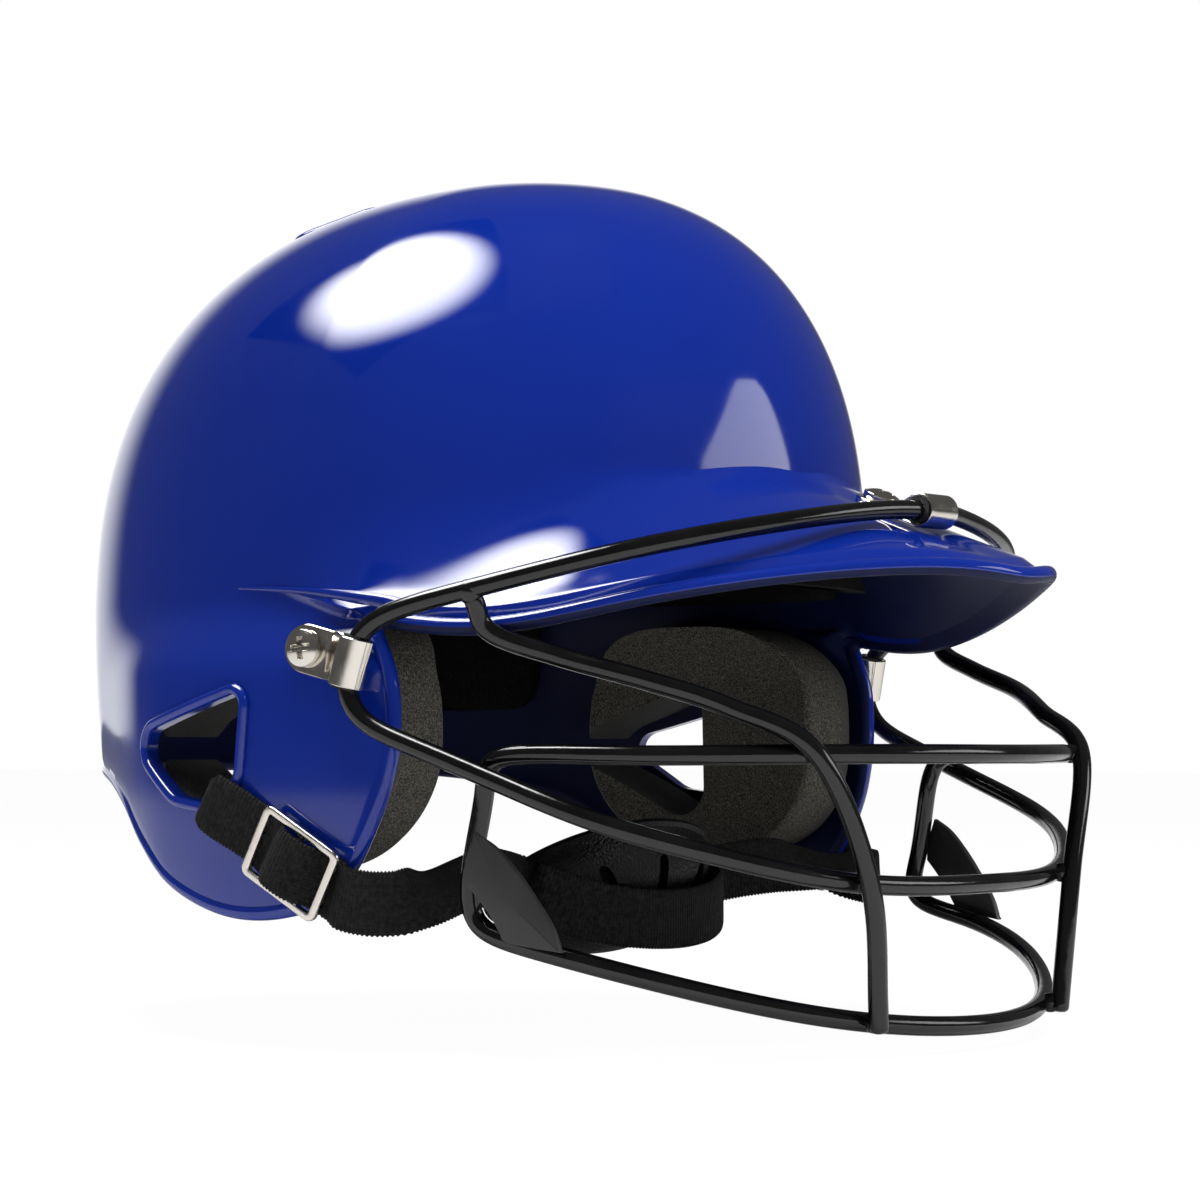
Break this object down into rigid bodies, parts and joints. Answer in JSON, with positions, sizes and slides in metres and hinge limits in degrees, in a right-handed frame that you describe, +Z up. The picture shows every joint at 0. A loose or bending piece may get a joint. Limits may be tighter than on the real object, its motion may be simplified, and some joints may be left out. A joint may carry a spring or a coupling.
{
  "type": "softball helmet with face mask",
  "caption": "Hard batting helmet with two ear flaps, a short peak, a wire face mask held by loop clips, foam lining, and a chin strap with a cup that swings under the jaw.",
  "frame": {"origin": "eye level in the middle plane of the head, level with the side clips' wire; the head goes in from below", "axes": "+Z up the head, +Y towards the back of the head, +X to the wearer's left; the face looks along -Y"},
  "size_m": [0.244, 0.2968, 0.2288],
  "materials": {
    "shell": "gloss",
    "coated_wire": "satin",
    "plate": "satin",
    "nickel": "polished",
    "zinc": "satin",
    "sleeve": "matte",
    "lining_foam": "matte",
    "ear_foam": "matte",
    "webbing": "matte",
    "cup": "satin"
  },
  "bodies": {
    "helmet": {"shell": "shell", "guard_top_wire": "coated_wire", "guard_middle_bar": "coated_wire", "guard_nose_bar": "coated_wire", "guard_jaw_bar": "coated_wire", "guard_upright_right": "coated_wire", "guard_upright_left": "coated_wire", "jaw_plate_right": "plate", "jaw_plate_left": "plate", "clip_front": "nickel", "clip_right": "nickel", "clip_left": "nickel", "sleeve_front": "sleeve", "sleeve_right": "sleeve", "sleeve_left": "sleeve", "clip_screws": "nickel", "clip_nuts": "zinc", "pad_front": "lining_foam", "pad_crown": "lining_foam", "pad_back": "lining_foam", "pad_side_right": "lining_foam", "pad_side_left": "lining_foam", "ear_pad_right": "ear_foam", "ear_pad_left": "ear_foam", "strap_right": "webbing", "strap_left": "webbing"},
    "chin_strap": {"chin_band": "webbing", "chin_cup": "cup"},
    "right_slide": {"slide_right": "nickel"},
    "left_slide": {"slide_left": "nickel"}
  },
  "joints": [
    {"name": "chin_strap_swing", "type": "hinge", "parent": "helmet", "child": "chin_strap", "pos_m": [0, -0.004, -0.0385], "axis": [1, 0, 0], "range_deg": [-45, 85]},
    {"name": "right_slide_travel", "type": "slide", "parent": "helmet", "child": "right_slide", "axis": [0.1102, -0.8549, -0.507], "range_m": [-0.006, 0.006], "deforming": ["strap_right"]},
    {"name": "left_slide_travel", "type": "slide", "parent": "helmet", "child": "left_slide", "axis": [-0.1102, -0.8549, -0.507], "range_m": [-0.006, 0.006], "deforming": ["strap_left"]}
  ]
}
